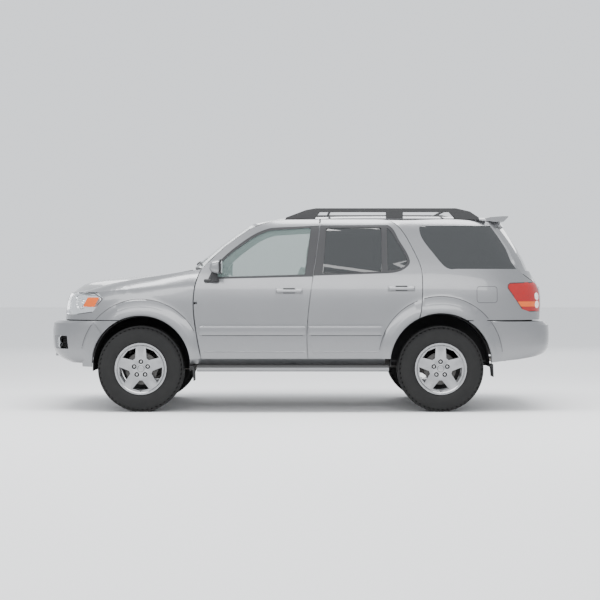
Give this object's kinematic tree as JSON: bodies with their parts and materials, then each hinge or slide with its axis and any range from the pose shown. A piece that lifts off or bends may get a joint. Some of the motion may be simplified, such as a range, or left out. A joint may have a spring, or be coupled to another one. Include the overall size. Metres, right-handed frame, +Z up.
{
  "type": "full-size sport utility vehicle",
  "caption": "Full-size body-on-frame SUV in silver with hinged doors, hood and tailgate, steered front wheels and four turning wheels.",
  "frame": {"origin": "on the ground, under the middle of the vehicle's length and width", "axes": "+X towards the rear, +Y towards the vehicle's right side, +Z up"},
  "size_m": [5.065, 2.32, 2.0167],
  "materials": {
    "paint": "gloss metallic",
    "dark_glass": "tinted",
    "clear_glass": "polished",
    "black_plastic": "textured",
    "chassis_black": "satin",
    "alloy": "painted satin",
    "tyre_rubber": "matte",
    "rubber": "matte",
    "cast": "rough",
    "steel": "worn",
    "lamp_clear": "clear",
    "lamp_red": "clear",
    "trim": "grained",
    "cloth": "woven",
    "carpet": "pile"
  },
  "bodies": {
    "body": {"body_sides": "paint", "chassis_frame": "chassis_black", "cowl": "black_plastic", "dashboard": "trim", "exhaust": "steel", "floor_pan": "carpet", "front_bumper": "paint", "front_fenders": "paint", "front_seats": "cloth", "front_suspension": "cast", "fuel_tank": "black_plastic", "grille": "black_plastic", "headlamps": "lamp_clear", "mud_flaps": "rubber", "powertrain": "cast", "quarter_glass": "dark_glass", "quarter_panels": "paint", "radiator": "chassis_black", "rear_axle": "cast", "rear_bumper": "paint", "roof_panel": "paint", "roof_rack": "black_plastic", "running_boards": "paint", "second_row_seat": "cloth", "spare_wheel": "tyre_rubber", "tail_lamps": "lamp_red", "third_row_seat": "cloth", "wheel_liners": "black_plastic", "windshield": "clear_glass", "wipers": "black_plastic"},
    "front_door_left": {"front_door_left": "paint", "front_door_glass_left": "clear_glass", "mirror_left": "paint"},
    "front_door_right": {"front_door_right": "paint", "front_door_glass_right": "clear_glass", "mirror_right": "paint"},
    "rear_door_left": {"rear_door_left": "paint", "rear_door_glass_left": "dark_glass"},
    "rear_door_right": {"rear_door_right": "paint", "rear_door_glass_right": "dark_glass"},
    "hood": {"hood": "paint"},
    "tailgate": {"tailgate": "paint", "tailgate_glass": "dark_glass", "spoiler": "paint"},
    "knuckle_left": {"knuckle_left": "cast"},
    "knuckle_right": {"knuckle_right": "cast"},
    "steering_wheel": {"steering_wheel": "trim"},
    "wheel_front_left": {"tyre_front_left": "tyre_rubber", "wheel_front_left": "alloy"},
    "wheel_front_right": {"tyre_front_right": "tyre_rubber", "wheel_front_right": "alloy"},
    "wheel_rear_left": {"tyre_rear_left": "tyre_rubber", "wheel_rear_left": "alloy"},
    "wheel_rear_right": {"tyre_rear_right": "tyre_rubber", "wheel_rear_right": "alloy"}
  },
  "joints": [
    {"name": "front_door_left_hinge", "type": "hinge", "parent": "body", "child": "front_door_left", "pos_m": [-1.021, -0.946, 0.9], "axis": [0, 0, -1], "range_deg": [0, 65]},
    {"name": "rear_door_left_hinge", "type": "hinge", "parent": "body", "child": "rear_door_left", "pos_m": [0.097, -0.946, 0.9], "axis": [0, 0, -1], "range_deg": [0, 68]},
    {"name": "front_door_right_hinge", "type": "hinge", "parent": "body", "child": "front_door_right", "pos_m": [-1.021, 0.946, 0.9], "axis": [0, 0, 1], "range_deg": [0, 65]},
    {"name": "rear_door_right_hinge", "type": "hinge", "parent": "body", "child": "rear_door_right", "pos_m": [0.097, 0.946, 0.9], "axis": [0, 0, 1], "range_deg": [0, 68]},
    {"name": "tailgate_hinge", "type": "hinge", "parent": "body", "child": "tailgate", "pos_m": [1.875, 0, 1.922], "axis": [0, -1, 0], "range_deg": [0, 78]},
    {"name": "hood_hinge", "type": "hinge", "parent": "body", "child": "hood", "pos_m": [-1.104, 0, 1.371], "axis": [0, 1, 0], "range_deg": [0, 50]},
    {"name": "steer_left", "type": "hinge", "parent": "body", "child": "knuckle_left", "pos_m": [-1.566, -0.785, 0.4245], "axis": [0, 0, 1], "range_deg": [-32, 32]},
    {"name": "steer_right", "type": "hinge", "parent": "body", "child": "knuckle_right", "pos_m": [-1.566, 0.785, 0.4245], "axis": [0, 0, 1], "range_deg": [-32, 32]},
    {"name": "steering_wheel_turn", "type": "hinge", "parent": "body", "child": "steering_wheel", "pos_m": [-0.61, -0.42, 1.15], "axis": [0.9063, 0, 0.4226], "range_deg": [-480, 480]},
    {"name": "wheel_front_left_spin", "type": "hinge", "parent": "knuckle_left", "child": "wheel_front_left", "pos_m": [-1.566, -0.822, 0.4245], "axis": [0, 1, 0], "continuous": true},
    {"name": "wheel_front_right_spin", "type": "hinge", "parent": "knuckle_right", "child": "wheel_front_right", "pos_m": [-1.566, 0.822, 0.4245], "axis": [0, 1, 0], "continuous": true},
    {"name": "wheel_rear_left_spin", "type": "hinge", "parent": "body", "child": "wheel_rear_left", "pos_m": [1.384, -0.822, 0.4245], "axis": [0, 1, 0], "continuous": true},
    {"name": "wheel_rear_right_spin", "type": "hinge", "parent": "body", "child": "wheel_rear_right", "pos_m": [1.384, 0.822, 0.4245], "axis": [0, 1, 0], "continuous": true}
  ],
  "couplings": [
    {"joint": "steer_right", "follows": "steer_left", "ratio": 1},
    {"joint": "steering_wheel_turn", "follows": "steer_left", "ratio": 15}
  ]
}
